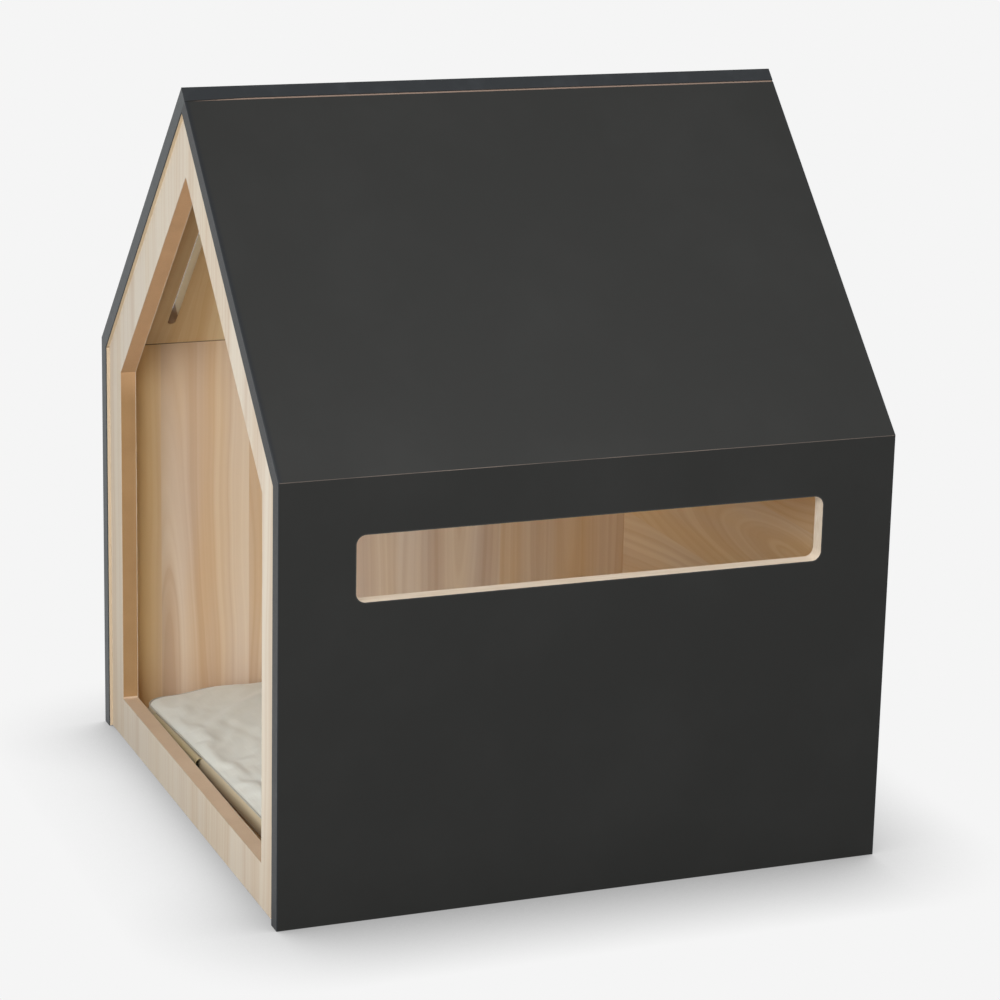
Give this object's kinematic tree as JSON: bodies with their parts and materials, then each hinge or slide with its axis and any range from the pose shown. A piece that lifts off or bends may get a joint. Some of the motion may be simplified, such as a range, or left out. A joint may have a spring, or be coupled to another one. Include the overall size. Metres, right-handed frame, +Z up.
{
  "type": "pet house",
  "caption": "Pet house of black-faced boards with a pitched roof, a recessed pale front frame, a window slot in one wall, a roof vent and a loose floor cushion.",
  "frame": {"origin": "on the floor, at the middle of the house's base", "axes": "+X across the house towards the wall with the window, +Y from the doorway to the back, +Z up"},
  "size_m": [0.6, 0.6, 0.716],
  "materials": {
    "faced_board": "satin",
    "ash_board": "satin",
    "black_edge_band": "satin",
    "pale_edge_band": "satin",
    "beech": "matte",
    "screw_steel": "satin",
    "black_cap": "matte",
    "cushion_cotton": "matte",
    "foam": "matte",
    "zip_tape": "matte",
    "dark_zinc": "satin"
  },
  "bodies": {
    "house": {"back_dowels": "beech", "back_panel": "faced_board", "floor_board": "ash_board", "floor_dowels": "beech", "frame_dowels": "beech", "front_frame": "ash_board", "left_eaves_biscuits": "beech", "left_roof": "faced_board", "left_roof_back_band": "black_edge_band", "left_roof_front_band": "black_edge_band", "left_wall": "faced_board", "left_wall_back_band": "black_edge_band", "left_wall_front_band": "black_edge_band", "ridge_band": "black_edge_band", "ridge_screw_caps": "black_cap", "ridge_screws": "screw_steel", "right_eaves_biscuits": "beech", "right_roof": "faced_board", "right_roof_back_band": "black_edge_band", "right_roof_front_band": "black_edge_band", "right_wall": "faced_board", "right_wall_back_band": "black_edge_band", "right_wall_front_band": "black_edge_band", "window_lining": "pale_edge_band"},
    "cushion": {"cushion_cover": "cushion_cotton", "cushion_foam": "foam", "zip_hood": "cushion_cotton", "zip_tape": "zip_tape", "zip_end_stops": "dark_zinc"},
    "slider": {"zip_slider": "dark_zinc"},
    "pull_tab": {"zip_pull": "dark_zinc"}
  },
  "joints": [
    {"name": "cushion_lift", "type": "slide", "parent": "house", "child": "cushion", "axis": [0, 0, 1], "range_m": [0, 0.12]},
    {"name": "zip_slide", "type": "slide", "parent": "cushion", "child": "slider", "axis": [-0.9991, -0.0435, 0], "range_m": [0, 0.12476]},
    {"name": "pull_swing", "type": "hinge", "parent": "slider", "child": "pull_tab", "pos_m": [-0.06201, -0.27123, 0.0283], "axis": [0.0435, -0.9991, 0], "range_deg": [-75, 75]}
  ]
}
